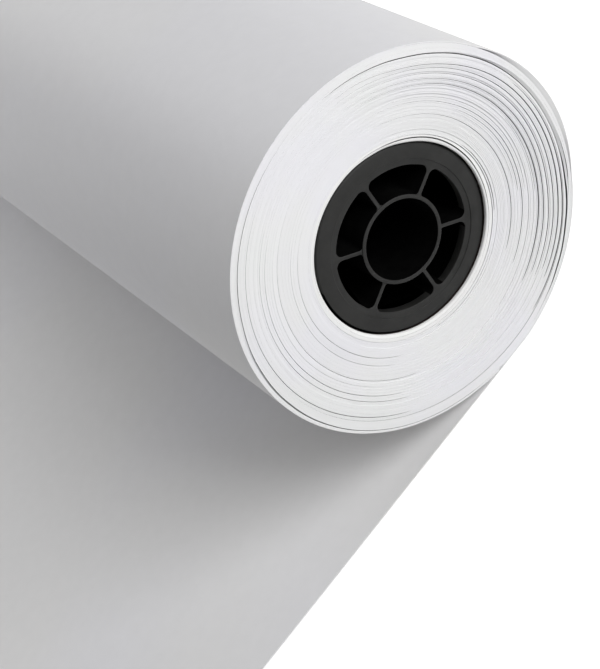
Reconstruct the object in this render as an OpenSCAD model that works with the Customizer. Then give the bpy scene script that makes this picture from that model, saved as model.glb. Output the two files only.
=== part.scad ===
// A roll of white kraft paper on a paperboard core with a moulded plug in each
// end. It lies on its own tail, the length of paper that has run off it.
// X runs along the roll, +Z is up, and the tail lies flat towards -Y.
// The origin is on the surface, under the middle of the roll.

/* [Paper] */
// Width of the web, which is the length of the roll
web_w = 457; // [250:1:900]
// Outside diameter of the wound paper
roll_d = 102.4; // [90:0.2:180]
// Thickness of the tail and of the outermost turn where it stands off
sheet_t = 0.3; // [0.2:0.05:0.6]
// Length of the tail, from under the middle of the roll
tail_len = 220; // [120:5:600]
// How far the soft roll settles into its flat spot
flat_sink = 0.15; // [0.05:0.05:0.4]

/* [Winding] */
// Number of bunches of turns wound firmly on the core
bunches = 15; // [8:1:20]
// How far each bunch stands ahead of the bunch inside it
bunch_lag = 0.19; // [0.05:0.01:0.5]
// Depth of the loose turns outside the firm ones
loose_depth = 3; // [2.6:0.1:6]
// Widest part of the hairline gap where two bunches part
hair_gap = 0.25; // [0.2:0.05:0.3]
// How far the slipped turns sit back at the near end
slip = 0.6; // [0.2:0.1:1.5]
// Thickness of the slipped turns at the back
back_slip_t = 1.1; // [0.4:0.1:1.2]
// Loose turns under the slipped ones at the back
back_under_t = 0.3; // [0.2:0.1:0.6]
// Thickness of the slipped turns at the front
front_slip_t = 0.8; // [0.4:0.1:1.2]
// Loose turns under the slipped ones at the front
front_under_t = 1; // [0.2:0.1:1.2]
// How far the outermost turn stands out at the back
bulge_h = 1.2; // [0.8:0.1:3]

/* [Core] */
// Bore of the core
core_bore_d = 51.5; // [44:0.1:60]
// Wall of the core
core_wall = 1.6; // [0.8:0.1:3]
// Depth of the bevel inside each mouth of the core
core_mouth = 1; // [0.4:0.1:1.2]
// Clearance between the core and the first turn
wind_clear = 0.05; // [0:0.05:0.2]

/* [Plugs] */
// How far a plug's rim sits inside the end of the core
plug_inset = 1; // [0:0.1:5]
// Clearance between a plug and the core, all round
plug_clear = 0.3; // [0.05:0.05:0.4]
// Length of a plug's sleeve and hub
plug_depth = 24; // [12:1:50]
// Wall of the sleeve
sleeve_wall = 1.6; // [1:0.1:3]
// Thickness of the face
face_t = 2.4; // [1.6:0.1:4]
// Rise of the face from its rim to its inner ledge
face_crown = 0.5; // [0.3:0.05:1]
// Bevel on the edge of the rim
rim_bevel = 0.6; // [0.2:0.1:1]
// Width of the face, from its rim to the windows
face_w = 6; // [4:0.1:9]
// Width of the ledge round the windows
ledge_w = 1.6; // [0.8:0.1:2.5]
// Depth of the ledge
ledge_depth = 0.3; // [0.1:0.05:0.3]
// Bore of the hub, which takes the holder's spindle
spindle_d = 21.6; // [12:0.1:26]
// Wall of the hub
hub_wall = 1.05; // [0.8:0.05:2]
// Thickness of a spoke
spoke_t = 1; // [0.8:0.1:2]
// Angle of the first spoke, from the back of the roll upwards
spoke_angle = 22.5; // [0:0.5:60]
// Rounding of the windows' outer corners
window_round = 1.8; // [0.6:0.1:2.4]
// Rounding of the windows' corners at the hub
hub_round = 0.8; // [0.4:0.1:1.2]

/* [Hidden] */
$fn = 96;

// Radii of the winding, from the core outwards
roll_r = roll_d / 2;
core_r = core_bore_d / 2;
wound_r = core_r + core_wall + wind_clear;
firm_r = roll_r - loose_depth;
bunch_pitch = (firm_r - wound_r) / bunches;
axis_z = roll_r - flat_sink;

// The inner turns lag at the near end and stand out by as much at the far end
dish = bunches * bunch_lag;
near_x = web_w / 2;
far_x = -web_w / 2;

// Bunches that part from the next one at the back, and at the front
back_parts = [3, 5, 6, 9, 10, 11, 12, 13, 14];
front_parts = [3, 4, 7, 10, 11, 14];
back_place = 0.52;
front_place = 0.14;
back_mid = 1;
front_mid = 181;
part_span = 66;

// Slipped turns: where they start, and their middle and half spread
back_slip_r = firm_r + back_under_t;
back_slip_mid = 8;
back_slip_span = 60;
front_slip_r = firm_r + front_under_t;
front_slip_mid = 152;
front_slip_span = 56;
bulge_mid = -3;
bulge_span = 29;

// Plug
plug_r = core_r - plug_clear;
window_r = plug_r - face_w;
ledge_r = window_r + ledge_w;
spindle_r = spindle_d / 2;
hub_r = spindle_r + hub_wall;
spokes = 6;
ledge_top = face_crown - ledge_depth;
weld = 0.3;
corner_lap = 0.01;
past = 1;

// Shift of a circle that stands h off a circle of radius r at the middle
// of its arc and meets it at span degrees to each side
function arc_shift(r, h, span) = (h * h + 2 * r * h) / (2 * (r * (1 - cos(span)) + h));

// Outline across the roll, drawn out along it from x0 to x1
module along_roll(x0, x1) {
  translate([x0, 0, 0]) rotate([90, 0, 90]) linear_extrude(x1 - x0) children();
}

// A disc about the roll's axis, from x0 to x1
module disc(r, x0, x1) {
  translate([x0, 0, axis_z]) rotate([0, 90, 0]) cylinder(r = r, h = x1 - x0);
}

// Circle that stands off the circle r by h about the angle mid
module stood_off(r, h, mid, span) {
  e = arc_shift(r, h, span);
  rotate(mid) translate([e, 0]) circle(r + h - e);
}

// Gap between two circles, widest at mid and closed span to each side
module crescent(r, h, mid, span) {
  difference() {
    stood_off(r, h, mid, span);
    circle(r);
  }
}

// Every hairline gap between turns, as one outline
module turn_gaps() {
  for (k = back_parts)
    if (k < bunches)
      crescent(wound_r + (k + back_place) * bunch_pitch, hair_gap, back_mid, part_span);
  for (k = front_parts)
    if (k < bunches)
      crescent(wound_r + (k + front_place) * bunch_pitch, hair_gap, front_mid, part_span);
}

// The turns that slipped along the roll, as one outline
module slipped_turns() {
  crescent(back_slip_r, back_slip_t, back_slip_mid, back_slip_span);
  crescent(front_slip_r, front_slip_t, front_slip_mid, front_slip_span);
  crescent(roll_r - sheet_t, bulge_h, bulge_mid, bulge_span);
}

// The roll's outside, its flat spot and the tail
module web_outline() {
  intersection() {
    translate([0, axis_z]) union() {
      circle(roll_r);
      stood_off(roll_r, bulge_h, bulge_mid, bulge_span);
    }
    translate([-2 * roll_r, 0]) square(4 * roll_r);
  }
  translate([-tail_len, 0]) square([tail_len, sheet_t]);
}

module paper_web() {
  color("white") difference() {
    union() {
      along_roll(far_x, near_x) web_outline();
      for (k = [0 : bunches - 1])
        disc(wound_r + (k + 1) * bunch_pitch, far_x - (bunches - k) * bunch_lag, 0);
      along_roll(far_x - slip, 0) translate([0, axis_z]) slipped_turns();
    }
    for (k = [0 : bunches - 1])
      disc(wound_r + (k + 1) * bunch_pitch, near_x - (bunches - k) * bunch_lag, near_x + past);
    disc(wound_r, far_x - dish - past, near_x + past);
    along_roll(far_x - dish - past, near_x + past) translate([0, axis_z]) turn_gaps();
    along_roll(near_x - slip, near_x + past) translate([0, axis_z]) slipped_turns();
  }
}

// What a mouth's bevel takes away, with the end of the core at z = 0
module mouth_cut() {
  translate([0, 0, -core_mouth])
    cylinder(r1 = core_r, r2 = core_r + core_mouth + past, h = core_mouth + past);
}

module core_tube() {
  color("gainsboro") difference() {
    disc(core_r + core_wall, far_x - dish, near_x - dish);
    disc(core_r, far_x - dish - past, near_x - dish + past);
    translate([near_x - dish, 0, axis_z]) rotate([0, 90, 0]) mouth_cut();
    translate([far_x - dish, 0, axis_z]) rotate([0, -90, 0]) mouth_cut();
  }
}

// Filled corner between a spoke's side and the rim, or the hub where out is -1
module spoke_corner(r, f, out) {
  v = spoke_t / 2 + f - corner_lap;
  u = sqrt(pow(r - out * (f - corner_lap), 2) - v * v);
  reach = (r + out * weld) / norm([u, v]);
  difference() {
    polygon([[u, 0], [u, v], [u * reach, v * reach], [r + out * 2 * weld, 0]]);
    translate([u, v]) circle(f);
  }
}

// A spoke with its four rounded corners
module spoke_outline() {
  translate([hub_r - weld, -spoke_t / 2]) square([window_r - hub_r + 2 * weld, spoke_t]);
  for (side = [0, 1]) mirror([0, side]) {
    spoke_corner(window_r, window_round, 1);
    spoke_corner(hub_r, hub_round, -1);
  }
}

// The plug's sleeve and face in one turned profile, with the face at z = 0
module plug_shell() {
  inner_r = plug_r - sleeve_wall;
  rotate_extrude() polygon([
    [plug_r, -plug_depth],
    [plug_r, -rim_bevel],
    [plug_r - rim_bevel, 0],
    [ledge_r, face_crown],
    [ledge_r, ledge_top],
    [window_r, ledge_top],
    [window_r, -face_t],
    [inner_r, -face_t],
    [inner_r, -plug_depth],
  ]);
}

module plug() {
  rib_end = plug_r - sleeve_wall + weld;
  color("#2e2e2c") {
    plug_shell();
    translate([0, 0, -plug_depth]) linear_extrude(plug_depth + face_crown) difference() {
      circle(hub_r);
      circle(spindle_r);
    }
    for (i = [0 : spokes - 1]) rotate(i * 360 / spokes) {
      translate([0, 0, -plug_depth]) linear_extrude(plug_depth + ledge_top) spoke_outline();
      translate([window_r, -spoke_t / 2, -plug_depth])
        cube([rib_end - window_r, spoke_t, plug_depth - face_t + weld]);
    }
  }
}

module end_plug_near() {
  translate([near_x - dish - plug_inset, 0, axis_z])
    rotate([90, 0, 90]) rotate(spoke_angle) plug();
}

module end_plug_far() {
  translate([far_x - dish + plug_inset, 0, axis_z])
    mirror([1, 0, 0]) rotate([90, 0, 90]) rotate(spoke_angle) plug();
}

paper_web();
core_tube();
end_plug_near();
end_plug_far();
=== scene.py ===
# %% [markdown]
# # A roll of white kraft paper
# The object is a web of white kraft paper wound on a paperboard core, with a
# moulded plug in each end of the core. It lies on its own tail, the length of
# paper that has run off it. The CAD model gives the frame, the sizes and the
# solids; this lesson dresses them, so that the winding looks wound, the paper
# looks like paper and the plugs look moulded.

import math
import random

import bmesh
import bpy
from mathutils import Matrix, Vector


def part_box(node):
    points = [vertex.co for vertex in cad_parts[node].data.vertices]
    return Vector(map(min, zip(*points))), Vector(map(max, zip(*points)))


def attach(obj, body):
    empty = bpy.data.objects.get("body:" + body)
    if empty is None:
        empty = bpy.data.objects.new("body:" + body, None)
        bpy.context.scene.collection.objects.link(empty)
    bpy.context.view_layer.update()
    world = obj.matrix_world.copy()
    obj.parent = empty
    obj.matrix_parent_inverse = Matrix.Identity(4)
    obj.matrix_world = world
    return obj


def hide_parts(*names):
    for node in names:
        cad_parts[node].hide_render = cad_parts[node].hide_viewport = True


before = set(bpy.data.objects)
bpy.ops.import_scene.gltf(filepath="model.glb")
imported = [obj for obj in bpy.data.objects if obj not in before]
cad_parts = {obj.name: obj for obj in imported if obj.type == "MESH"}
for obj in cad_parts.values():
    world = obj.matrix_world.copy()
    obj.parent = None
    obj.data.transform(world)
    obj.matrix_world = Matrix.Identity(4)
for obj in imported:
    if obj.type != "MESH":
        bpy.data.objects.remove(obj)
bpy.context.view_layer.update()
MM = 0.001
print("CAD nodes:", sorted(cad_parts))

# %% [markdown]
# ## Sizes
# Every size below comes from the CAD nodes' boxes where it can, and the few
# that a box doesn't give are the ones that the CAD source uses. X runs along
# the roll, +Z is up, and the tail lies flat towards -Y.

# %% Read the sizes from the CAD boxes
CORE_WALL = 1.6 * MM
MOUTH_DEPTH = 1.0 * MM
PLUG_INSET = 1.0 * MM
sheet_t = 0.3 * MM
web_low, web_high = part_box("paper_web")
core_low, core_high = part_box("core_tube")
near_x = web_high.x
far_x = -near_x
dish = far_x - web_low.x
axis_z = (core_low.z + core_high.z) / 2
core_out = (core_high.z - core_low.z) / 2
core_in = core_out - CORE_WALL
roll_r = web_high.z - axis_z
print(f"roll radius {roll_r / MM:.2f} mm, axis {axis_z / MM:.2f} mm up, dish {dish / MM:.2f} mm")

# %% [markdown]
# ## Camera
# The photograph looks down on the near end from the front of the roll and is
# turned on its side a little. The camera's three axes are written as the
# columns of its matrix, which places and turns it in one step. The lens is a
# long one, on a sensor whose long side is the picture's height.

# %% Place the camera
CAMERA_AT = Vector((591.02, -65.93, 343.58)) * MM
TO_RIGHT = Vector((0.51252, 0.62591, -0.58784))
DOWNWARD = Vector((0.34555, -0.77706, -0.52610))
AHEAD = Vector((-0.78608, 0.06651, -0.61454))
SENSOR = 36.0
IMAGE_HEIGHT = 669
FOCAL_PIXELS = 1883.38

camera_data = bpy.data.cameras.new("camera")
camera_data.sensor_width = SENSOR
camera_data.lens = FOCAL_PIXELS * SENSOR / IMAGE_HEIGHT
camera_data.clip_start = 0.01
camera = bpy.data.objects.new("camera", camera_data)
bpy.context.scene.collection.objects.link(camera)
turn = Matrix((TO_RIGHT, -DOWNWARD, -AHEAD)).transposed().to_4x4()
camera.matrix_world = Matrix.Translation(CAMERA_AT) @ turn
bpy.context.scene.camera = camera
print(f"lens {camera_data.lens:.2f} mm")

# %% [markdown]
# ## A few helpers for materials
# Each finish below is a small node tree. These helpers add a node, set its
# sockets and join it to the next, so that each material reads as a list of
# what the surface is made of.


# %% Helpers for node trees
def add_node(tree, kind, values=None, **settings):
    """A new node in the tree, with its settings and socket values."""
    node = tree.nodes.new(kind)
    for key, value in settings.items():
        setattr(node, key, value)
    for key, value in (values or {}).items():
        if isinstance(value, bpy.types.NodeSocket):
            tree.links.new(value, node.inputs[key])
        else:
            node.inputs[key].default_value = value
    return node


def add_math(tree, operation, *values):
    """A Math node's result."""
    sockets = dict(enumerate(values))
    return add_node(tree, "ShaderNodeMath", sockets, operation=operation).outputs[0]


def add_noise(tree, place, scale, detail=2.0, roughness=0.5):
    """A Noise Texture's value at a place."""
    values = {"Vector": place, "Scale": scale, "Detail": detail, "Roughness": roughness}
    return add_node(tree, "ShaderNodeTexNoise", values).outputs["Fac"]


def split(tree, vector):
    """The three parts of a vector."""
    return add_node(tree, "ShaderNodeSeparateXYZ", {"Vector": vector}).outputs


def join(tree, x, y, z):
    """A vector from its three parts."""
    return add_node(tree, "ShaderNodeCombineXYZ", {"X": x, "Y": y, "Z": z}).outputs[0]


def new_finish(name, roughness, gloss=0.5):
    """A material, its tree and shader, and a place measured from the roll's axis."""
    material = bpy.data.materials.new(name)
    material.use_nodes = True
    tree = material.node_tree
    shader = tree.nodes["Principled BSDF"]
    shader.inputs["Roughness"].default_value = roughness
    shader.inputs["Specular IOR Level"].default_value = gloss
    place = add_node(tree, "ShaderNodeTexCoord").outputs["Object"]
    lowered = {"Vector": place, "Location": (0, 0, -axis_z)}
    about_axis = add_node(tree, "ShaderNodeMapping", lowered).outputs[0]
    return material, tree, shader, about_axis


def distance_from_axis(tree, about_axis):
    """Radius about the roll's axis, and the three coordinates."""
    xyz = split(tree, about_axis)
    y_squared = add_math(tree, "MULTIPLY", xyz["Y"], xyz["Y"])
    z_squared = add_math(tree, "MULTIPLY", xyz["Z"], xyz["Z"])
    return add_math(tree, "SQRT", add_math(tree, "ADD", y_squared, z_squared)), xyz


def stretched(tree, radius, xyz, across, along):
    """A place that changes fast across the turns and slowly round the roll."""
    return join(
        tree,
        add_math(tree, "MULTIPLY", radius, across),
        add_math(tree, "MULTIPLY", xyz["Y"], along),
        add_math(tree, "MULTIPLY", xyz["Z"], along),
    )


def grey(value):
    """A colour with no tint."""
    return (value, value, value)


def colour_between(tree, factor, *stops):
    """A Color Ramp through (place, colour) stops."""
    ramp = add_node(tree, "ShaderNodeValToRGB", {"Fac": factor})
    band = ramp.color_ramp
    while len(band.elements) < len(stops):
        band.elements.new(0.5)
    for element, (place, colour) in zip(band.elements, stops):
        element.position = place
        element.color = (*colour, 1)
    return ramp.outputs["Color"]


def multiplied(tree, colour, shade):
    """One colour times another: a Mix node's colour sockets are 6 and 7, and 2 comes out."""
    values = {"Factor": 1.0, 6: colour, 7: shade}
    mix = add_node(tree, "ShaderNodeMix", values, data_type="RGBA", blend_type="MULTIPLY")
    return mix.outputs[2]


def add_bump(tree, shader, height, distance, strength=1.0):
    """Relief of a given depth, joined to the shader."""
    bump = add_node(
        tree, "ShaderNodeBump", {"Height": height, "Distance": distance, "Strength": strength}
    )
    tree.links.new(bump.outputs["Normal"], shader.inputs["Normal"])


# %% [markdown]
# ## The paper's end grain
# On the roll's ends one sees the cut edges of some two hundred turns. They
# are finer than the camera can part, so they read as faint streaks that follow
# the turns. A noise that is stretched along the turns does this: its first
# coordinate is the distance from the axis, which changes fast, and the other
# two change slowly round the roll. A second, broad noise gives the faint cool
# and greenish tints that white paper takes from what stands round it.

# %% Finish of the cut edges
TURNS_PER_M = 1 / (0.15 * MM)
STREAKS_ROUND = 30.0
GREENISH, PLAIN, BLUISH = (0.795, 0.805, 0.80), (0.805, 0.805, 0.81), (0.80, 0.797, 0.825)
edge_paper, tree, shader, about_axis = new_finish("paper_cut_edges", 0.85, gloss=0.25)
radius, xyz = distance_from_axis(tree, about_axis)
streak_at = stretched(tree, radius, xyz, TURNS_PER_M, STREAKS_ROUND)
streaks = add_noise(tree, streak_at, 0.5, detail=3.0, roughness=0.6)
streak_colour = colour_between(tree, streaks, (0.3, grey(0.965)), (0.62, grey(1.0)))
tints = add_noise(tree, about_axis, 38.0)
tint_colour = colour_between(tree, tints, (0.35, GREENISH), (0.5, PLAIN), (0.65, BLUISH))
tree.links.new(multiplied(tree, tint_colour, streak_colour), shader.inputs["Base Color"])
add_bump(tree, shader, streaks, 0.04 * MM, 0.6)
print("made", edge_paper.name)

# %% [markdown]
# Where two bunches of turns part, one looks into a slit a quarter of a
# millimetre wide and half a metre deep, and no light comes back out of it. The
# slit's walls are white paper, but they get a dark grey finish as painted shade,
# because a slit so fine is lit too well by light that only just reaches into it.

# %% Painted shade for the slits between turns
# Dark grey: painted shade on the slits' walls, not the paper's own colour
slit_painted_shade, tree, shader, about_axis = new_finish("painted_shade_in_the_slits", 0.9, gloss=0.1)
dimness = add_noise(tree, about_axis, 90.0)
slit_shade_colour = colour_between(tree, dimness, (0.35, grey(0.09)), (0.65, grey(0.16)))
tree.links.new(slit_shade_colour, shader.inputs["Base Color"])
print("made", slit_painted_shade.name)

# %% [markdown]
# ## The paper's face
# White kraft has a smooth, slightly shiny machine finish. Close to, it shows a
# fine cloudiness where the fibres lie thicker, drawn out along the machine
# direction, which runs round the roll and down the tail. Three noises do this:
# a cloudy one and a broad one for the colour, and a fibrous one for the relief.
# The broad one moves the white a little between warm and cool.

# %% Finish of the paper's face
WARM, COOL = (0.79, 0.786, 0.786), (0.78, 0.778, 0.80)
ROUND_THE_ROLL = (1.0, 0.35, 0.35)
face_paper, tree, shader, about_axis = new_finish("paper_face", 0.58, gloss=0.25)
clouds = add_noise(tree, about_axis, 220.0, detail=4.0, roughness=0.6)
cloud_colour = colour_between(tree, clouds, (0.35, grey(0.982)), (0.65, grey(1.0)))
tints = add_noise(tree, about_axis, 9.0, detail=1.0)
tint_colour = colour_between(tree, tints, (0.4, WARM), (0.6, COOL))
tree.links.new(multiplied(tree, tint_colour, cloud_colour), shader.inputs["Base Color"])
fibre_at = add_node(tree, "ShaderNodeMapping", {"Vector": about_axis, "Scale": ROUND_THE_ROLL})
fibres = add_noise(tree, fibre_at.outputs[0], 2600.0, detail=3.0)
add_bump(tree, shader, fibres, 0.01 * MM, 0.4)
print("made", face_paper.name)

# %% [markdown]
# ## The core's board
# The core is spiral-wound board, faced with white paper at its ends and raw
# red-brown board inside. The raw board starts at the inner end of the bevelled
# mouth, which a ramp along X gives, and it is drawn far darker than bare board:
# painted shade for the inside of the tube. Fine plies show on the cut end as rings.

# %% Finish of the core
RAMP_LENGTH = 12 * MM
PLIES_PER_M = 5000.0
PLIES_ROUND = 60.0
RAW_BROWN_IN_SHADE = (0.045, 0.025, 0.02)
board, tree, shader, about_axis = new_finish("core_board", 0.8)
radius, xyz = distance_from_axis(tree, about_axis)
from_middle = add_math(tree, "ABSOLUTE", add_math(tree, "ADD", xyz["X"], dish))
inwards = add_math(tree, "SUBTRACT", near_x, from_middle)
depth = add_math(tree, "DIVIDE", inwards, RAMP_LENGTH)
plies = add_noise(tree, stretched(tree, radius, xyz, PLIES_PER_M, PLIES_ROUND), 0.6)
ply_colour = colour_between(tree, plies, (0.3, (0.80, 0.80, 0.795)), (0.7, (0.84, 0.84, 0.835)))
# Raw brown board, darkened well below its own colour as painted shade inside
raw_board_painted_dark = colour_between(tree, depth, (0.086, grey(1.0)), (0.1, RAW_BROWN_IN_SHADE))
tree.links.new(multiplied(tree, ply_colour, raw_board_painted_dark), shader.inputs["Base Color"])
add_bump(tree, shader, plies, 0.03 * MM, 0.4)
print("made", board.name)

# %% [markdown]
# ## The plugs' plastic
# The plugs are moulded in a dark grey, matte plastic. The mould leaves a very
# fine grain and faint cloudy patches. Away from the face the walls sit in the
# dark of the core.

# %% Finish of the plugs
DARK, PALER = (0.006, 0.006, 0.0056), (0.015, 0.015, 0.0142)
ROUGH_LEAST, ROUGH_SWING = 0.45, 0.2
plastic, tree, shader, about_axis = new_finish("moulded_plastic", 0.55, gloss=0.28)
patches = add_noise(tree, about_axis, 130.0, detail=5.0, roughness=0.65)
patch_colour = colour_between(tree, patches, (0.35, DARK), (0.68, PALER))
tree.links.new(patch_colour, shader.inputs["Base Color"])
patch_roughness = add_math(tree, "MULTIPLY_ADD", patches, ROUGH_SWING, ROUGH_LEAST)
tree.links.new(patch_roughness, shader.inputs["Roughness"])
grain = add_noise(tree, about_axis, 2400.0)
add_bump(tree, shader, grain, 0.02 * MM, 0.5)
print("made", plastic.name)

# %% [markdown]
# Inside the windows and the hub hardly any light comes back out, and the
# plastic reads as black. A second, rough and near-black finish paints that
# shade on: it goes on the walls that lie deeper than the face, and on the
# rim's bevelled edge where that is turned away from the light.

# %% Painted shade on the plugs' inner walls
SHADE_BLACKEST, SHADE_LESS_BLACK = grey(0.0012), (0.0025, 0.0025, 0.0024)
# Near-black plastic: painted shade for the deep walls and the shaded rim edge
plastic_in_painted_shade, tree, shader, about_axis = new_finish("plastic_in_painted_shade", 0.95, gloss=0.02)
plug_shade_noise = add_noise(tree, about_axis, 300.0, detail=3.0)
plug_shade_colour = colour_between(tree, plug_shade_noise, (0.4, SHADE_BLACKEST), (0.7, SHADE_LESS_BLACK))
tree.links.new(plug_shade_colour, shader.inputs["Base Color"])
print("made", plastic_in_painted_shade.name)

# %% [markdown]
# ## The winding: where the turns part
# A roll of paper never winds perfectly tight. Turns lie in bunches that slip
# past each other a little, and where the roll was pressed, the bunches part in
# thin crescents: fine dark lines on the right and the left of the end. Each
# line is listed with its distance from the axis, its widest gap, the angle of
# its middle and its half spread. Angles run from the back (+Y) up to the top.

# %% List the fine lines
FINE_LINES = [
    # radius of its middle, gap, angle of its middle, half spread
    (27.88, 0.20, -14, 24),
    (28.10, 0.06, -85, 26),
    (31.32, 0.11, 178, 48),
    (32.70, 0.22, 4, 62),
    (33.40, 0.08, 176, 46),
    (34.15, 0.10, -2, 26),
    (35.15, 0.18, -4, 28),
    (36.10, 0.21, 2, 66),
    (37.15, 0.15, 15, 46),
    (37.40, 0.11, 174, 60),
    (38.90, 0.05, 174, 40),
    (39.80, 0.12, -16, 18),
    (40.60, 0.33, 0, 69),
    (41.25, 0.14, 176, 50),
    (42.00, 0.27, 4, 70),
    (42.75, 0.12, 174, 54),
    (43.38, 0.25, 5, 70),
    (44.78, 0.28, 6, 70),
    (46.20, 0.36, 5, 71),
    (46.95, 0.17, 172, 56),
    (47.50, 0.3, -34, 42),
]
# About how thick a ring is, and how much thinner the rings get outwards
TURN_STEP = 0.45
CLOSER_OUTWARDS = 0.8
CORE_CLEARANCE = 0.05
# The first and the last limit of the firm turns
wound_r = core_out / MM + CORE_CLEARANCE
firm_out = 47.85
limits = [wound_r]
line_at = {}
for radius, width, middle, spread in FINE_LINES + [(firm_out, 0, 0, 90)]:
    start, stop = limits[-1], radius - width / 2
    line_at[stop] = (width, middle, spread)
    count = max(1, round((stop - start) / TURN_STEP))
    for i in range(1, count + 1):
        limit = start + (stop - start) * (i / count) ** CLOSER_OUTWARDS
        limits.append(stop if i == count else limit)
print(len(limits) - 1, "rings of firm turns")

# %% [markdown]
# ## The winding: one point for each ring of turns
# Geometry Nodes will make the same ring shape again and again, so the tree
# gets a mesh of points, one for each ring. Each point carries its ring's own
# numbers: its two radii and its lag, the gap inside it, and whether it lies
# under the next ring's gap. The lag is how far the ring sits behind the outer
# turns at the near end, and it stands out by as much at the far end. It grows
# towards the core, which dishes the end. Two rings on either side of a gap
# keep one lag, so that only the gap parts them.

# %% Give each ring its numbers
LAG_AT = [
    # distance from the axis, lag
    (27.4, 2.75),
    (31.5, 2.2),
    (37.3, 1.65),
    (40.1, 1.05),
    (43.1, 0.5),
    (46.1, 0.2),
    (48.2, 0.1),
]
# How far a ring's lag may differ from the list's, either way
LAG_SPREAD = 0.015
NO_GAP = (0, 0, 90)


def read_off(pairs, place):
    """The value at a place, on straight lines between (place, value) pairs."""
    for (a, low), (b, high) in zip(pairs, pairs[1:]):
        if place <= b:
            return low + (high - low) * (place - a) / (b - a)
    return pairs[-1][1]


random.seed(7)
rings, gaps, under_a_gap = [], [], []
for inner, outer in zip(limits, limits[1:]):
    width, middle, spread = line_at.get(inner, NO_GAP)
    under_a_gap.append(float(line_at.get(outer, NO_GAP)[0] > 0))
    if not rings or width == 0:
        lag = read_off(LAG_AT, (inner + outer) / 2) + random.uniform(-LAG_SPREAD, LAG_SPREAD)
    rings.append((inner * MM, outer * MM, lag * MM))
    gaps.append((width * MM, math.radians(middle), math.radians(spread)))

ring_mesh = bpy.data.meshes.new("wound_turns")
ring_mesh.from_pydata([(0, 0, 0)] * len(rings), [], [])
for name, values in (("ring", rings), ("gap", gaps)):
    layer = ring_mesh.attributes.new(name, "FLOAT_VECTOR", "POINT")
    layer.data.foreach_set("vector", [number for row in values for number in row])
for name, values in (("number", list(range(len(rings)))), ("under_a_gap", under_a_gap)):
    layer = ring_mesh.attributes.new(name, "FLOAT", "POINT")
    layer.data.foreach_set("value", values)
print(len(rings), "points, one for each ring")

# %% [markdown]
# ## The winding: the tree that shapes the rings
# Each point gets a small grid of faces. One way along the grid goes round the
# roll, and the other goes round the ring's own section, which has eight
# corners: two at each edge, so that every edge has a soft round-over. The
# tree moves the grid's points to their places by rule: the radius from the
# ring's numbers, opened by the crescent of its gap, and X from its lag and a
# small wander. All rings also drift in and out together a little, so that no
# line is a perfect circle.


# %% Helpers for Geometry Nodes
# A low power opens a gap quickly from its ends, and a sine makes it wider low down
FULLNESS = 0.3
GAP_MIDDLE, GAP_SWING, GAP_LEAN = 0.74, -0.58, 0.09
# The rings waver, but not next to the core or at the last ring
DRIFT_FINENESS = 160.0
STEADY_IN, STEADY_OUT = 1.5, 1.0
# Distances from the axis between which the slack and the dent set in
SLACK_FROM, SLACK_TO = 38.5, 43.5
DENT_FROM, DENT_TO = 44.9, 45.9


def tree_input(tree, name, kind, value):
    """A named input of a Geometry Nodes tree, with its usual value."""
    item = tree.interface.new_socket(name=name, in_out="INPUT", socket_type=kind)
    if value is not None:
        item.default_value = value
    return item


def named(tree, name, kind="FLOAT"):
    """A named attribute, read as a field."""
    reader = add_node(tree, "GeometryNodeInputNamedAttribute", {"Name": name}, data_type=kind)
    return reader.outputs[0]


def crescent(tree, around, numbers):
    """Width of a gap at an angle, from (width, middle, half spread); gaps open more low down."""
    width, middle, spread = split(tree, numbers)
    edge = add_math(tree, "COSINE", spread)
    from_middle = add_math(tree, "SUBTRACT", around, middle)
    above = add_math(tree, "SUBTRACT", add_math(tree, "COSINE", from_middle), edge)
    share = add_math(tree, "DIVIDE", above, add_math(tree, "SUBTRACT", 1.0, edge))
    full = add_math(tree, "POWER", add_math(tree, "MAXIMUM", share, 0.0), FULLNESS)
    height = add_math(tree, "SINE", add_math(tree, "ADD", around, GAP_LEAN))
    lower_is_wider = add_math(tree, "MULTIPLY_ADD", height, GAP_SWING, GAP_MIDDLE)
    return add_math(tree, "MULTIPLY", add_math(tree, "MULTIPLY", width, full), lower_is_wider)


def by_angle(tree, around, points):
    """A curve node through (angle, millimetres) points, read at the angle round the roll."""
    share = add_math(tree, "MULTIPLY_ADD", around, 1 / math.tau, 1.0)
    curve = add_node(tree, "ShaderNodeFloatCurve", {"Value": share})
    curve.mapping.clip_min_y = -1.0
    line = curve.mapping.curves[0]
    line.points[0].location = (0.0, points[0][1])
    line.points[1].location = (1.0, points[-1][1])
    for angle, offset in points[1:-1]:
        line.points.new(angle / 360, offset)
    curve.mapping.update()
    return curve


def eased_in(tree, value, start, stop):
    """0 before start and 1 after stop, in millimetres, with a smooth way between."""
    values = {"Value": value, "From Min": start * MM, "From Max": stop * MM}
    values.update({"To Min": 0.0, "To Max": 1.0})
    ramp = add_node(tree, "ShaderNodeMapRange", values, interpolation_type="SMOOTHSTEP")
    return ramp.outputs["Result"]


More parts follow.
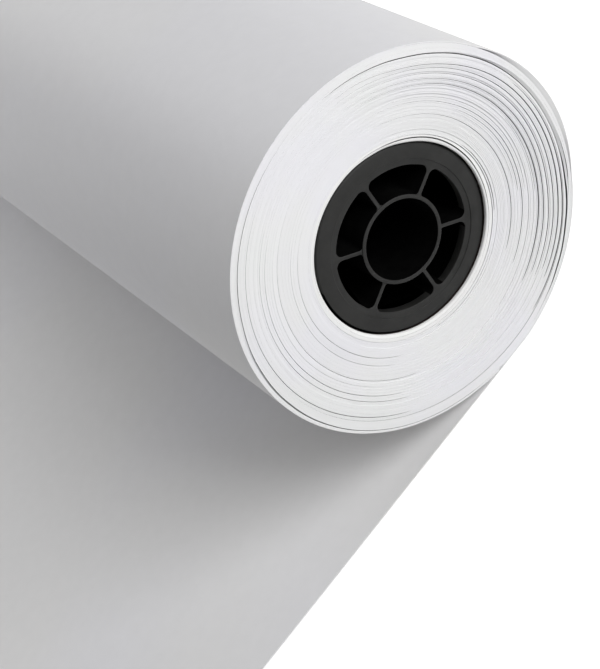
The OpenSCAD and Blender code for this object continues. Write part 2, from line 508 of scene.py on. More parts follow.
def drifted(tree, radius, cosine, sine, slack, dent, asked):
    """A radius that wavers a little with the angle and follows the slack and the dent outside."""
    fine_radius = add_math(tree, "MULTIPLY", radius, DRIFT_FINENESS)
    noise = add_noise(tree, join(tree, fine_radius, cosine, sine), 1.4, detail=1.0)
    after_first = eased_in(tree, radius, wound_r, wound_r + STEADY_IN)
    near_last = eased_in(tree, radius, firm_out - STEADY_OUT, firm_out)
    share = add_math(tree, "MULTIPLY", after_first, add_math(tree, "SUBTRACT", 1.0, near_last))
    swing = add_math(tree, "MULTIPLY", add_math(tree, "SUBTRACT", noise, 0.5), share)
    wavy = add_math(tree, "MULTIPLY_ADD", swing, asked["Drift"], radius)
    slack_part = add_math(tree, "MULTIPLY", slack, eased_in(tree, radius, SLACK_FROM, SLACK_TO))
    dent_part = add_math(tree, "MULTIPLY", dent, eased_in(tree, radius, DENT_FROM, DENT_TO))
    both = add_math(tree, "ADD", slack_part, dent_part)
    return add_math(tree, "MULTIPLY_ADD", both, asked["Slack"], wavy)


# %% [markdown]
# The tree's inputs are the sizes that one may want to change. A grid is put on
# every point and made real, and the grid's own coordinates, stored before
# that, tell each point how far round the roll and at which corner it is.

# %% Build the tree: a grid for every ring
CORNERS = 8
tree = bpy.data.node_groups.new("wind_the_rings", "GeometryNodeTree")
tree_input(tree, "Rings", "NodeSocketGeometry", None)
tree_input(tree, "Width", "NodeSocketFloat", 0.457)
tree_input(tree, "Axis Height", "NodeSocketFloat", 0.05105)
tree_input(tree, "Round Over", "NodeSocketFloat", 0.00002)
tree_input(tree, "Wander", "NodeSocketFloat", 0.00005)
tree_input(tree, "Drift", "NodeSocketFloat", 0.0005)
tree_input(tree, "Hairline", "NodeSocketFloat", 0.000005)
tree_input(tree, "Slack", "NodeSocketFloat", 0.001)
tree_input(tree, "Steps Round", "NodeSocketInt", 168)
tree_input(tree, "Finish", "NodeSocketMaterial", None)
tree_input(tree, "Slit Finish", "NodeSocketMaterial", None)
tree.interface.new_socket(name="Turns", in_out="OUTPUT", socket_type="NodeSocketGeometry")
asked = add_node(tree, "NodeGroupInput").outputs
grid = add_node(
    tree,
    "GeometryNodeMeshGrid",
    {
        "Size X": 1.0,
        "Size Y": 1.0,
        "Vertices X": add_math(tree, "ADD", asked["Steps Round"], 1.0),
        "Vertices Y": CORNERS + 1,
    },
)
kept = add_node(
    tree,
    "GeometryNodeStoreNamedAttribute",
    {"Geometry": grid.outputs["Mesh"], "Name": "grid_place"},
    data_type="FLOAT_VECTOR",
    domain="POINT",
)
tree.links.new(add_node(tree, "GeometryNodeInputPosition").outputs[0], kept.inputs["Value"])
on_points = add_node(
    tree, "GeometryNodeInstanceOnPoints", {"Points": asked["Rings"], "Instance": kept.outputs[0]}
)
real = add_node(tree, "GeometryNodeRealizeInstances", {"Geometry": on_points.outputs[0]})
on_grid = split(tree, named(tree, "grid_place", "FLOAT_VECTOR"))
around = add_math(tree, "MULTIPLY", add_math(tree, "ADD", on_grid["X"], 0.5), -math.tau)
cosine, sine = add_math(tree, "COSINE", around), add_math(tree, "SINE", around)
place_on_side = add_math(tree, "MULTIPLY", add_math(tree, "ADD", on_grid["Y"], 0.5), CORNERS)
corner = add_math(tree, "MODULO", add_math(tree, "ROUND", place_on_side), CORNERS)
print(len(tree.nodes), "nodes so far")

# %% [markdown]
# Corners 0 to 3 are at the near end and 4 to 7 at the far end. Corners 2 to 5
# are on the outer wall, and 1, 2, 5 and 6 lie on the end faces, a round-over
# away from the walls. Plain sums on the corner's number say which is which.

# %% Build the tree: which corner is where
MIDDLE_CORNER = (CORNERS - 1) / 2
from_half = add_math(tree, "SUBTRACT", corner, MIDDLE_CORNER)
span = add_math(tree, "ABSOLUTE", from_half)
is_outer = add_math(tree, "LESS_THAN", span, 2.0)
is_far = add_math(tree, "GREATER_THAN", from_half, 0.0)
beside_two = add_math(tree, "ABSOLUTE", add_math(tree, "SUBTRACT", span, 2.0))
is_on_face = add_math(tree, "LESS_THAN", beside_two, 1.0)
off_face = add_math(tree, "SUBTRACT", 1.0, is_on_face)
print(len(tree.nodes), "nodes so far")

# %% [markdown]
# A ring's inner wall stands off the ring inside it by its gap, and its outer
# wall stops a hairline short of the next ring. The outer rings aren't quite
# round: they are slack at the top and underneath, and pressed in between the
# back and the top. Two curves hold that, as millimetres at each angle, and the
# innermost limit of the loose turns reads the same curves later.

# %% Build the tree: how far out each corner is
SLACK_AT = [
    # angle, millimetres
    *[(0, 0), (20, -0.05), (50, -0.1), (70, 0.32), (80, 0.32), (110, 0.1), (150, 0)],
    *[(240, 0), (270, 0.3), (285, 0.55), (300, 0.6), (320, 0.25), (340, 0.05), (360, 0)],
]
DENT_AT = [(0, 0), (12, -0.02), (30, -0.25), (45, -0.45), (60, -0.15), (74, 0), (180, 0), (360, 0)]
inner, outer, lag = split(tree, named(tree, "ring", "FLOAT_VECTOR"))
opened = crescent(tree, around, named(tree, "gap", "FLOAT_VECTOR"))
slack_curve = by_angle(tree, around, SLACK_AT)
dent_curve = by_angle(tree, around, DENT_AT)
bends = (cosine, sine, slack_curve.outputs[0], dent_curve.outputs[0], asked)
inner_wall = add_math(tree, "ADD", drifted(tree, inner, *bends), opened)
outer_wall = add_math(tree, "SUBTRACT", drifted(tree, outer, *bends), asked["Hairline"])
walls = {0: is_outer, 2: inner_wall, 3: outer_wall}
wall = add_node(tree, "ShaderNodeMix", walls, data_type="FLOAT").outputs[0]
inwards_sign = add_math(tree, "MULTIPLY_ADD", is_outer, -2.0, 1.0)
eased_sign = add_math(tree, "MULTIPLY", inwards_sign, is_on_face)
eased = add_math(tree, "MULTIPLY", eased_sign, asked["Round Over"])
ring_r = add_math(tree, "ADD", wall, eased)
print(len(tree.nodes), "nodes so far")

# %% [markdown]
# Along the roll each ring sits back by its lag. Its edge also wanders by a few
# hundredths of a millimetre, and each ring in its own way, because its number
# sets its place in the noise. Most of the noise lies under the level that is
# taken off it, so an edge wanders back rather than forward.

# %% Build the tree: move the corners
RING_APART = 7.3
WANDER_LEVEL = 0.75
TOUCHING = 0.000002
ring_place = add_math(tree, "MULTIPLY", named(tree, "number"), RING_APART)
wander_noise = add_noise(tree, join(tree, ring_place, cosine, sine), 1.3)
from_level = add_math(tree, "SUBTRACT", wander_noise, WANDER_LEVEL)
wandered = add_math(tree, "MULTIPLY", from_level, asked["Wander"])
half_width = add_math(tree, "MULTIPLY_ADD", asked["Width"], 0.5, wandered)
in_from_face = add_math(tree, "MULTIPLY", off_face, asked["Round Over"])
reach = add_math(tree, "SUBTRACT", half_width, in_from_face)
end_sign = add_math(tree, "MULTIPLY_ADD", is_far, -2.0, 1.0)
placed = join(
    tree,
    add_math(tree, "SUBTRACT", add_math(tree, "MULTIPLY", end_sign, reach), lag),
    add_math(tree, "MULTIPLY", ring_r, cosine),
    add_math(tree, "MULTIPLY_ADD", ring_r, sine, asked["Axis Height"]),
)
sided = add_node(
    tree,
    "GeometryNodeStoreNamedAttribute",
    {"Geometry": real.outputs[0], "Name": "side", "Value": place_on_side},
    data_type="FLOAT",
    domain="FACE",
)
moved = add_node(
    tree, "GeometryNodeSetPosition", {"Geometry": sided.outputs[0], "Position": placed}
)
closed = add_node(
    tree, "GeometryNodeMergeByDistance", {"Geometry": moved.outputs[0], "Distance": TOUCHING}
)
print(len(tree.nodes), "nodes so far")

# %% [markdown]
# Every face takes the finish of the cut edges, and then the walls on both
# sides of a gap take the dark painted shade of the slits. A face's own number
# round the section was stored before the points moved: halfway from 3 to 4 is
# the outer wall, and halfway from 7 to 8 is the inner one.

# %% Build the tree: give the faces their finishes
finished = add_node(
    tree, "GeometryNodeSetMaterial", {"Geometry": closed.outputs[0], "Material": asked["Finish"]}
)
side = named(tree, "side")
from_outer_wall = add_math(tree, "ABSOLUTE", add_math(tree, "SUBTRACT", side, MIDDLE_CORNER))
is_outer_wall = add_math(tree, "LESS_THAN", from_outer_wall, 0.4)
is_inner_wall = add_math(tree, "GREATER_THAN", side, CORNERS - 1.0)
gap_width = split(tree, named(tree, "gap", "FLOAT_VECTOR"))["X"]
has_gap = add_math(tree, "GREATER_THAN", gap_width, 0.0)
in_slit = add_math(
    tree,
    "ADD",
    add_math(tree, "MULTIPLY", is_inner_wall, has_gap),
    add_math(tree, "MULTIPLY", is_outer_wall, named(tree, "under_a_gap")),
)
# The walls beside a gap are painted dark as shade
walls_done = add_node(
    tree,
    "GeometryNodeSetMaterial",
    {
        "Geometry": finished.outputs[0],
        "Selection": add_math(tree, "GREATER_THAN", in_slit, 0.5),
        "Material": asked["Slit Finish"],
    },
)
add_node(tree, "NodeGroupOutput", {"Turns": walls_done.outputs[0]})
print(len(tree.nodes), "nodes in the whole tree")

# %% [markdown]
# ## The winding: run the tree
# The modifier's inputs are set by their identifiers before the object is first
# evaluated. The result is then copied to a plain mesh and the modifier goes,
# so that the piece is ordinary geometry. The stored numbers are no
# longer needed and go too.


# %% Wind the rings
def set_inputs(modifier, **values):
    """Sets a Geometry Nodes modifier's inputs by their names' identifiers."""
    items = {
        item.name: item.identifier
        for item in modifier.node_group.interface.items_tree
        if item.item_type == "SOCKET" and item.in_out == "INPUT"
    }
    for name, value in values.items():
        modifier[items[name.replace("_", " ")]] = value


def made_plain(piece):
    """The piece with its modifiers applied to its mesh."""
    shown = piece.evaluated_get(bpy.context.evaluated_depsgraph_get())
    mesh = bpy.data.meshes.new_from_object(shown)
    piece.modifiers.clear()
    mesh.name = piece.name
    piece.data = mesh
    return piece


def add_piece(name, mesh):
    """An object at the origin that holds the mesh."""
    piece = bpy.data.objects.new(name, mesh)
    bpy.context.scene.collection.objects.link(piece)
    return piece


def measure(piece):
    """Prints a piece's volume, open edges and triangles."""
    form = bmesh.new()
    form.from_mesh(piece.data)
    volume = form.calc_volume(signed=True)
    open_edges = sum(1 for edge in form.edges if not edge.is_manifold)
    triangles = sum(len(face.verts) - 2 for face in form.faces)
    form.free()
    print(f"{piece.name}: {volume * 1e6:.2f} cm3, {open_edges} open edges, {triangles} triangles")


turns = add_piece("wound_turns", ring_mesh)
winding = turns.modifiers.new("wind", "NODES")
winding.node_group = tree
set_inputs(
    winding,
    Width=near_x - far_x,
    Axis_Height=axis_z,
    Round_Over=0.02 * MM,
    Wander=0.03 * MM,
    Drift=0.5 * MM,
    Hairline=0.005 * MM,
    Slack=MM,
    Steps_Round=168,
    Finish=edge_paper,
    Slit_Finish=slit_painted_shade,
)
made_plain(turns)
for name in ("ring", "gap", "number", "under_a_gap", "grid_place", "side"):
    if name in turns.data.attributes:
        turns.data.attributes.remove(turns.data.attributes[name])
measure(turns)

# %% [markdown]
# ## The loose turns
# The last few millimetres of paper are loose. On the right a crescent of
# turns has slipped back, on the left another, and at the back the outermost
# turn stands out a little. These shapes don't repeat, so each limit between
# two layers is a short list of angles and radii, joined by smooth curves. A
# layer's edge may also slope: each layer says how far its inner and its outer
# rim are set back at the near end, and it stands out by as much at the far end.

# %% List the limits of the loose layers
UNDER_CRESCENT = [
    # angle, distance from the axis
    *[(-150, 48.4), (-112, 48.9), (-80, 50.1), (-70, 49.93), (-60, 49.54), (-45, 49.03)],
    *[(-30, 48.57), (-20, 48.55), (-10, 48.48), (0, 48.49), (10, 48.43), (20, 48.42)],
    *[(30, 48.3), (40, 48.1), (50, 48.0), (60, 48.22), (70, 48.4), (85, 48.5), (150, 48.4)],
]
SLIT_UNDER = [
    # angle, gap
    *[(-82, 0), (-75, 0.06), (-60, 0.42), (-45, 0.5), (-30, 0.6), (-20, 0.42), (-10, 0.28)],
    *[(10, 0.24), (25, 0.2), (40, 0.26), (50, 0.25), (60, 0.2), (70, 0.14), (82, 0)],
]
OVER_CRESCENT = [
    *[(-150, 48.6), (-112, 49.1), (-80, 50.3), (-70, 50.22), (-60, 50.08), (-45, 49.7)],
    *[(-38, 49.66), (-30, 49.72), (-20, 49.65), (-10, 49.5), (0, 49.5), (10, 49.4)],
    *[(25, 48.95), (35, 48.72), (40, 48.6), (50, 48.45), (60, 48.6), (70, 48.75)],
    *[(85, 48.7), (150, 48.6)],
]
SLIT_OVER = [(-40, 0), (-36, 0.1), (-30, 0.24), (-24, 0.14), (-17, 0)]
UNDER_LEFT = [
    *[(-150, 50.3), (-128, 50.55), (-95, 50.55), (-60, 50.4), (-30, 50.2), (10, 49.95)],
    *[(50, 49.4), (90, 48.9), (120, 49.1), (145, 49.15), (165, 49.5), (180, 49.75)],
    (195, 50.05),
]
OVER_LEFT = [
    *[(-150, 50.45), (-128, 50.65), (-95, 50.65), (-60, 50.55), (-30, 50.35), (10, 50.15)],
    *[(50, 49.7), (90, 49.2), (120, 49.85), (145, 50.05), (165, 50.05), (180, 50.15)],
    (195, 50.3),
]
RIM_IN = 50.85
# The outermost turn's stand-off, the angle of its middle and its half spread
BULGE = (1.2, -3, 29)
print(f"loose turns lie from {firm_out} mm to {roll_r / MM:.1f} mm from the axis")

# %% [markdown]
# A limit is read at any angle from its list with an eased curve, so the layers
# have no corners. The innermost limit follows the outermost firm ring. Before
# anything is drawn, every layer is measured at each degree, because limits
# that crossed would turn a layer inside out.


# %% Read the limits at any angle
def outer_drift(angle):
    """How far the outermost firm ring moves in or out at an angle, from the tree's own curves."""
    share = (angle % 360) / 360
    maps = (slack_curve.mapping, dent_curve.mapping)
    return sum(curves.evaluate(curves.curves[0], share) for curves in maps)


def smooth_ring(pairs, angle):
    """Radius or set-back at an angle, eased between (angle, value) pairs round the circle."""
    pairs = sorted((a % 360, value) for a, value in pairs)
    pairs = [(pairs[-1][0] - 360, pairs[-1][1])] + pairs + [(pairs[0][0] + 360, pairs[0][1])]
    angle %= 360
    for (a, low), (b, high) in zip(pairs, pairs[1:]):
        if angle <= b:
            share = (angle - a) / (b - a)
            return low + (high - low) * (3 - 2 * share) * share * share
    return pairs[-1][1]


def bump_at(angle, height, middle, spread):
    """Stand-off of the outermost turn at an angle."""
    edge = math.cos(math.radians(spread))
    share = (math.cos(math.radians(angle - middle)) - edge) / (1 - edge)
    return height * max(share, 0.0)


sheet_in = (roll_r - sheet_t) / MM
layer_limits = [
    lambda angle: firm_out + outer_drift(angle),
    lambda angle: smooth_ring(UNDER_CRESCENT, angle),
    lambda angle: smooth_ring(OVER_CRESCENT, angle),
    lambda angle: smooth_ring(UNDER_LEFT, angle),
    lambda angle: smooth_ring(OVER_LEFT, angle),
    lambda angle: RIM_IN,
    lambda angle: sheet_in + bump_at(angle, *BULGE),
]
slits = [
    lambda angle: 0.0,
    lambda angle: smooth_ring(SLIT_UNDER, angle),
    lambda angle: smooth_ring(SLIT_OVER, angle),
    lambda angle: 0.0,
    lambda angle: 0.0,
    lambda angle: 0.0,
]
worst = min(
    (high(angle) - low(angle) - slit(angle), angle, i)
    for i, (low, high, slit) in enumerate(zip(layer_limits, layer_limits[1:], slits))
    for angle in range(360)
)
print(f"thinnest loose layer {worst[0]:.2f} mm, layer {worst[2]} at {worst[1]} degrees")

# %% [markdown]
# Between the limits lie six layers. Each gets its set-backs, and a closed ring
# is drawn for each, with the eight corners that the firm rings have. The walls
# on both sides of a limit take the dark painted shade of the slits.

# %% Draw the loose layers
FLUSH = [(0, 0.05)]
CRESCENT_DEEP = [
    # angle, set-back
    *[(-38, 0.05), (-30, 0.35), (-20, 0.55), (-10, 0.5)],
    *[(10, 0.45), (20, 0.4), (30, 0.2), (40, 0.05)],
]
LEFT_DEEP = [(90, 0.06), (120, 0.25), (150, 0.4), (180, 0.7), (205, 0.9), (232, 0.5), (260, 0.06)]
LEFT_SHALLOW = [(90, 0.06), (120, 0.2), (150, 0.3), (180, 0.5), (205, 0.7), (232, 0.4), (260, 0.06)]
RIM_DEEP = [(-40, 0.05), (-24, 0.6), (-15, 0.5), (10, 0.5), (22, 0.6), (36, 0.3), (52, 0.05)]
set_backs = [
    (FLUSH, FLUSH),
    (CRESCENT_DEEP, FLUSH),
    (FLUSH, FLUSH),
    (LEFT_SHALLOW, LEFT_DEEP),
    (FLUSH, FLUSH),
    (RIM_DEEP, FLUSH),
]
LOOSE_STEPS = 300
ROUND_OVER = 0.02
WALL_SIDES = (3, 7)


def section_at(angle, low, high, slit, inner_back, outer_back):
    """A layer's eight corners at an angle, as (x, radius)."""
    r_in, r_out = low(angle) + slit(angle), high(angle)
    b_in, b_out = smooth_ring(inner_back, angle), smooth_ring(outer_back, angle)
    radii = [r_in, r_in + ROUND_OVER, r_out - ROUND_OVER, r_out]
    near_backs = [b_in + ROUND_OVER, b_in, b_out, b_out + ROUND_OVER]
    far_backs = [b_in - ROUND_OVER, b_in, b_out, b_out - ROUND_OVER]
    near = [(near_x - back * MM, r) for back, r in zip(near_backs, radii)]
    far = [(far_x - back * MM, r) for back, r in zip(far_backs, radii)]
    return near + far[::-1]


vertices, faces, wall_faces = [], [], []
for low, high, slit, backs in zip(layer_limits, layer_limits[1:], slits, set_backs):
    first = len(vertices)
    for i in range(LOOSE_STEPS):
        angle = 360 * i / LOOSE_STEPS
        c, s = math.cos(math.radians(angle)), math.sin(math.radians(angle))
        for x, r in section_at(angle, low, high, slit, *backs):
            vertices.append((x, r * c * MM, max(axis_z + r * s * MM, sheet_t)))
    for i in range(LOOSE_STEPS):
        a, b = first + i * CORNERS, first + (i + 1) % LOOSE_STEPS * CORNERS
        for j in range(CORNERS):
            k = (j + 1) % CORNERS
            if j in WALL_SIDES:
                wall_faces.append(len(faces))
            faces.append((a + j, a + k, b + k, b + j))
loose_mesh = bpy.data.meshes.new("loose_turns")
loose_mesh.from_pydata(vertices, [], faces)
loose_mesh.materials.append(edge_paper)
loose_mesh.materials.append(slit_painted_shade)
# The walls beside a limit are painted dark as shade
for i in wall_faces:
    loose_mesh.polygons[i].material_index = 1
loose = add_piece("loose_turns", loose_mesh)
measure(loose)

# %% [markdown]
# ## The outermost turn and the tail
# The last turn is one sheet with the tail. Its path comes in along the
# surface, rises up the back of the roll, where it stands off a little, goes
# over the top and down the front, and tucks in above the tail. The sheet is
# drawn along that path as a thin closed strip with real thickness.


# %% Lay out the path of the sheet
STEPS_TAIL = 90
STEPS_ROUND = 340
# Degrees by which the turn stops short of the tail
TUCK = 0.15
tail_end = web_low.y
path = []
settle_y = -math.sqrt(roll_r**2 - axis_z**2)
for i in range(STEPS_TAIL + 1):
    y = tail_end + (settle_y - tail_end) * i / STEPS_TAIL
    path.append((y, 0.0, y, sheet_t))
start_angle = math.degrees(math.atan2(-axis_z, settle_y))
meet_y = -math.sqrt(roll_r**2 - (axis_z - sheet_t) ** 2)
stop_angle = 360 + math.degrees(math.atan2(-(axis_z - sheet_t), meet_y)) - TUCK
for i in range(1, STEPS_ROUND + 1):
    angle = start_angle + (stop_angle - start_angle) * i / STEPS_ROUND
    outer_r = roll_r + bump_at(angle, *BULGE) * MM
    inner_r = outer_r - sheet_t
    c, s = math.cos(math.radians(angle)), math.sin(math.radians(angle))
    out_z = axis_z + outer_r * s
    in_z = axis_z + inner_r * s
    if angle < 0:
        out_z, in_z = max(out_z, 0.0), max(in_z, sheet_t)
    path.append((outer_r * c, out_z, inner_r * c, in_z))
print(len(path), "steps along the sheet")

# %% [markdown]
# The strip is a grid: the path one way, a few stations along the roll the
# other way, once for the sheet's outside and once for its inside. Four narrow
# bands of faces close its edges.


# %% Draw the sheet
STATIONS = 13


def shade_smooth(mesh, sharp_from):
    """Smooth shading that stops at edges sharper than an angle in degrees."""
    for face in mesh.polygons:
        face.use_smooth = True
    mesh.set_sharp_from_angle(angle=math.radians(sharp_from))


def closed_mesh(name, vertices, faces, sharp_from):
    """A smooth mesh whose faces point outwards."""
    mesh = bpy.data.meshes.new(name)
    mesh.from_pydata(vertices, [], faces)
    form = bmesh.new()
    form.from_mesh(mesh)
    bmesh.ops.recalc_face_normals(form, faces=form.faces)
    form.to_mesh(mesh)
    form.free()
    shade_smooth(mesh, sharp_from)
    return mesh


def strip(name, path, stations):
    """A thin closed sheet that follows the path, drawn out along X."""
    vertices, faces = [], []
    for out_y, out_z, in_y, in_z in path:
        vertices += [(x, out_y, out_z) for x in stations]
        vertices += [(x, in_y, in_z) for x in stations]
    n = len(stations)
    row = 2 * n
    for i in range(len(path) - 1):
        a, b = i * row, (i + 1) * row
        for j in range(n - 1):
            faces.append((a + j, b + j, b + j + 1, a + j + 1))
            faces.append((a + n + j, a + n + j + 1, b + n + j + 1, b + n + j))
        faces.append((a, a + n, b + n, b))
        faces.append((a + n - 1, b + n - 1, b + row - 1, a + row - 1))
    last = (len(path) - 1) * row
    for j in range(n - 1):
        faces.append((j, j + 1, n + j + 1, n + j))
        faces.append((last + j, last + n + j, last + n + j + 1, last + j + 1))
    return closed_mesh(name, vertices, faces, 35)


stations = [far_x + (near_x - far_x) * i / (STATIONS - 1) for i in range(STATIONS)]
sheet = add_piece("outer_turn_and_tail", strip("outer_turn_and_tail", path, stations))
sheet.data.materials.append(face_paper)
measure(sheet)

# %% [markdown]
# ## The core
# The core is a plain tube of board. Its mouths are rounded over, so that a plug
# goes in easily, and the cut end of the board is what catches the light as a
# bright ring round the plug. Round the back and underneath, the lip stands a
# quarter of a millimetre into the clearance that the plug has, and at the top
# it opens wider. At the back the board's outer ply has split from the rest,
# and the first turns of paper stand off it a little. All of this changes
# slowly with the angle, so each part is a list of angles and values again.

# %% Shape the core's mouth
# Angle, and how wide the mouth opens there, from 0 to 1
MOUTH_OPEN = [(-170, 0.6), (-140, 0), (45, 0), (65, 0.5), (85, 1), (150, 1), (190, 0.6)]
PLY_SPLIT = [
    # angle, width of the split
    *[(-60, 0.01), (-42, 0.06), (-15, 0.18), (5, 0.3)],
    *[(30, 0.32), (50, 0.3), (68, 0.1), (80, 0.01)],
]
# Angle, and how far the split lies outside the bore
SPLIT_AT = [(-60, 0.55), (-20, 0.35), (5, 0.47), (30, 0.73), (50, 0.67), (80, 0.85)]
SPLIT_DEPTH = 0.8 * MM
SPLIT_FULL = 0.06 * MM
# Angle, and how far the outside stands off the first turn
SHRINK = [(-80, 0), (-50, 0.04), (-12, 0.1), (5, 0.1), (30, 0.08), (45, 0)]
LIP = 0.25 * MM


def mouth_profile(x_end, towards, angle):
    """Points of a mouth at an angle, from the bore over the lip to the outside."""
    opened = smooth_ring(MOUTH_OPEN, angle)
    lip = core_in - LIP * (1 - opened)
    split_width = smooth_ring(PLY_SPLIT, angle) * MM
    split_r = core_in + smooth_ring(SPLIT_AT, angle) * MM
    split_floor = 0.03 * MM + SPLIT_DEPTH * min(split_width / SPLIT_FULL, 1.0)
    outside = core_out - smooth_ring(SHRINK, angle) * MM
    rows = [
        # how far in from the end, radius
        (MOUTH_DEPTH + 0.3 * MM, core_in),
        (MOUTH_DEPTH, lip),
        ((0.35 + 0.5 * opened) * MM, lip + 0.02 * MM),
        ((0.15 + 0.3 * opened) * MM, lip + (0.12 + 0.25 * opened) * MM),
        (0.05 * MM, lip + (0.35 + 0.25 * opened) * MM),
        (0.01 * MM, split_r),
        (split_floor, split_r + 0.01 * MM),
        (split_floor, split_r + split_width),
        (0.0, split_r + split_width + 0.01 * MM),
        (0.0, outside - 0.06 * MM),
        (0.06 * MM, outside),
        (3.0 * MM, outside),
        (12.0 * MM, core_out),
    ]
    return [(x_end - towards * inwards, r) for inwards, r in rows]


print(len(mouth_profile(core_high.x, 1, 0)), "points across a mouth")

# %% [markdown]
# The tube is turned from one closed profile, like work on a lathe: the near
# mouth's points, and then the far mouth's in the other order. The walls of the
# split, and the outside that stands off the first turn, take the dark painted
# shade of the slits instead of the board's own colour.


# %% Turn the core
CORE_STEPS = 240
# Sides of the profile painted dark as shade: the split's walls and the stand-off outside
SLIT_SHADE_SIDES = (5, 6, 7, 10, 11)


def core_profile(angle):
    """The whole closed profile of the core at an angle."""
    near_mouth = mouth_profile(core_high.x, 1, angle)
    return near_mouth + mouth_profile(core_low.x, -1, angle)[::-1]


def turned(name, profile_at, steps):
    """A closed profile of (x, radius), which may change with the angle, turned about the axis."""
    vertices, faces = [], []
    for i in range(steps):
        angle = 360 * i / steps
        c, s = math.cos(math.radians(angle)), math.sin(math.radians(angle))
        vertices += [(x, r * c, axis_z + r * s) for x, r in profile_at(angle)]
    n = len(profile_at(0))
    for i in range(steps):
        a, b = i * n, (i + 1) % steps * n
        for j in range(n):
            k = (j + 1) % n
            faces.append((a + j, a + k, b + k, b + j))
    return closed_mesh(name, vertices, faces, 40)


core = add_piece("core_wall", turned("core_wall", core_profile, CORE_STEPS))
core.data.materials.append(board)
core.data.materials.append(slit_painted_shade)
around_profile = len(core_profile(0))
dark = {*SLIT_SHADE_SIDES, *(around_profile - 2 - j for j in SLIT_SHADE_SIDES)}
for i, face in enumerate(core.data.polygons):
    if i % around_profile in dark:
        face.material_index = 1
measure(core)

# %% [markdown]
# ## The plugs
# A moulded part has no sharp edges. The CAD plugs have the right shape, so
# each is copied, its loose triangles are joined, and a narrow bevel goes
# along its edges, which is where a matte part shows its light lines. Then the
# deep walls take the near-black painted shade, and so does the rim's edge at
# the front and underneath, where it faces down and away from the lamps.


# %% Soften the plugs' edges
# Depth below the rim at which the painted black shade begins, and width of
# the rim's edge
FACE_BAND = 1.2 * MM
EDGE_BAND = 0.8 * MM
EDGE_ROUND = 0.12 * MM
LIT_FROM, LIT_TO = -20, 160


def joined_copy(node_name):
    """A copy of a CAD node's mesh with its triangles joined into flat faces."""
    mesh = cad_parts[node_name].data.copy()
    form = bmesh.new()
    form.from_mesh(mesh)
    bmesh.ops.remove_doubles(form, verts=form.verts, dist=TOUCHING)
    bmesh.ops.dissolve_limit(
        form, angle_limit=math.radians(0.5), verts=form.verts, edges=form.edges
    )
    form.to_mesh(mesh)
    form.free()
    return mesh


def softened(node_name, piece_name):
    """A plug with bevelled edges, its plastic and a near-black painted shade."""
    piece = add_piece(piece_name, joined_copy(node_name))
    bevel = piece.modifiers.new("edges", "BEVEL")
    bevel.width = EDGE_ROUND
    bevel.segments = 2
    bevel.limit_method = "ANGLE"
    bevel.angle_limit = math.radians(35)
    bevel.use_clamp_overlap = False
    made_plain(piece)
    shade_smooth(piece.data, 40)
    piece.data.materials.clear()
    piece.data.materials.append(plastic)
    piece.data.materials.append(plastic_in_painted_shade)
    rim_x = near_x - PLUG_INSET
    for face in piece.data.polygons:
        x, y, z = face.center
        depth = rim_x - abs(x + dish)
        out = math.hypot(y, z - axis_z)
        angle = math.degrees(math.atan2(z - axis_z, y))
        on_shaded_edge = out > core_in - EDGE_BAND and not LIT_FROM < angle < LIT_TO
        # Deep faces and the rim's edge on its shaded side get the painted shade
        if depth > FACE_BAND or on_shaded_edge:
            face.material_index = 1
    measure(piece)
    return piece


plug_near = softened("end_plug_near", "plug_near")
plug_far = softened("end_plug_far", "plug_far")

# %% [markdown]
# ## Floor and light
# The floor and the world are white to the camera and in reflections, through
# Light Path, while they light the object no more than a plain studio would.
# Large soft lamps stand off both ends and low off the front: the near end is
# the brightest part, the top is light, the front is in soft shade, and the
# roll's shadow lies along its tail. The floor glows more with the distance,
# where no lamp reaches it, so that it stays white out to its edge.


# %% Lay the floor
FLOOR_HALF = 6.0
FLOOR_Z = -0.1 * MM
FLOOR_GLOW = 0.55
GLOW_FROM, GLOW_TO = 0.5, 2.5


def seen_directly(tree):
    """1 where the camera, a reflection or glass sees the surface, and 0 where it gives light."""
    seen = add_node(tree, "ShaderNodeLightPath").outputs
    mirrored = add_math(tree, "MAXIMUM", seen["Is Glossy Ray"], seen["Is Transmission Ray"])
    return add_math(tree, "MAXIMUM", seen["Is Camera Ray"], mirrored)


floor_mesh = bpy.data.meshes.new("floor")
floor_corners = [
    (x * FLOOR_HALF, y * FLOOR_HALF, FLOOR_Z) for x, y in ((-1, -1), (1, -1), (1, 1), (-1, 1))
]
floor_mesh.from_pydata(floor_corners, [], [(0, 1, 2, 3)])
floor = add_piece("floor", floor_mesh)
floor_finish = bpy.data.materials.new("pale_floor")
floor_finish.use_nodes = True
tree = floor_finish.node_tree
shader = tree.nodes["Principled BSDF"]
shader.inputs["Base Color"].default_value = (*grey(0.78), 1)
shader.inputs["Roughness"].default_value = 0.9
shader.inputs["Emission Color"].default_value = (1, 1, 1, 1)
place = add_node(tree, "ShaderNodeTexCoord").outputs["Object"]
away = add_node(tree, "ShaderNodeVectorMath", {0: place}, operation="LENGTH").outputs["Value"]
glow_range = {"Value": away, "From Min": GLOW_FROM, "From Max": GLOW_TO}
glow_range.update({"To Min": FLOOR_GLOW, "To Max": 1.0})
glow = add_node(tree, "ShaderNodeMapRange", glow_range).outputs["Result"]
emission = add_math(tree, "MULTIPLY", seen_directly(tree), glow)
tree.links.new(emission, shader.inputs["Emission Strength"])
floor_mesh.materials.append(floor_finish)
print("floor laid")

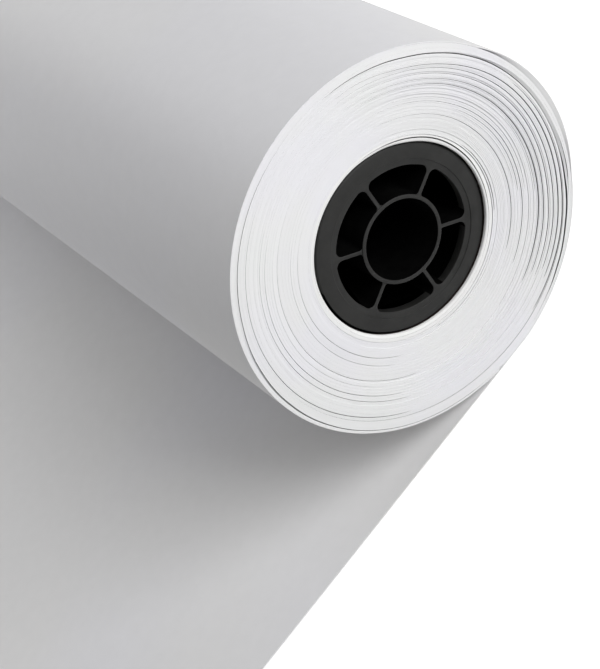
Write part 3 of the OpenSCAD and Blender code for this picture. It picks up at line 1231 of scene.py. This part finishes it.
# %% [markdown]
# The world is a faint even light, so that no shade is black. Each lamp is a
# wide area lamp on a circle round the roll, set by two angles: how far round
# from +X it stands, and how far up.


# %% Set the world and the lamps
AMBIENT = 0.07
LAMP_DISTANCE = 1.2
LAMP_WIDTH = 0.7
LAMP_TARGET = Vector((0.1, 0.0, 0.05))
world = bpy.data.worlds.new("studio")
bpy.context.scene.world = world
world.use_nodes = True
tree = world.node_tree
sky = tree.nodes["Background"]
sky.inputs["Color"].default_value = (1, 1, 1, 1)
strength = add_math(tree, "MULTIPLY_ADD", seen_directly(tree), 1.0 - AMBIENT, AMBIENT)
tree.links.new(strength, sky.inputs["Strength"])


def soft_lamp(name, round_z, up, height, watts):
    """A wide area lamp that faces the roll, at two angles in degrees."""
    data = bpy.data.lights.new(name, "AREA")
    data.shape = "RECTANGLE"
    data.size = LAMP_WIDTH
    data.size_y = height
    data.energy = watts
    lamp = bpy.data.objects.new(name, data)
    bpy.context.scene.collection.objects.link(lamp)
    lamp.visible_camera = False
    a, b = math.radians(round_z), math.radians(up)
    towards = Vector((math.cos(b) * math.cos(a), math.cos(b) * math.sin(a), math.sin(b)))
    facing = towards.to_track_quat("Z", "Y").to_matrix().to_4x4()
    lamp.matrix_world = Matrix.Translation(LAMP_TARGET + towards * LAMP_DISTANCE) @ facing
    print(f"{name}: {round_z} degrees round, {up} up, {watts} W")


soft_lamp("key_off_the_near_end", 30, 28, 0.7, 12.4)
soft_lamp("over_the_far_end", 180, 32, 0.7, 5.2)
soft_lamp("low_off_the_front", 215, 12, 0.6, 3.6)
bpy.context.scene.view_settings.view_transform = "Standard"

# %% [markdown]
# ## The pieces on the roll's body
# Each piece rides on the roll's one body, takes its finish from the record's
# slot and stands for its CAD node, which stays behind for contact, hidden.

# %% Ride on the body and hide the CAD nodes
for piece, slot_name, node_name in (
    (turns, "paper", "paper_web"),
    (loose, "paper", "paper_web"),
    (sheet, "paper", "paper_web"),
    (core, "core", "core_tube"),
    (plug_near, "plug", "end_plug_near"),
    (plug_far, "plug", "end_plug_far"),
):
    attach(piece, "root")
    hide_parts(node_name)
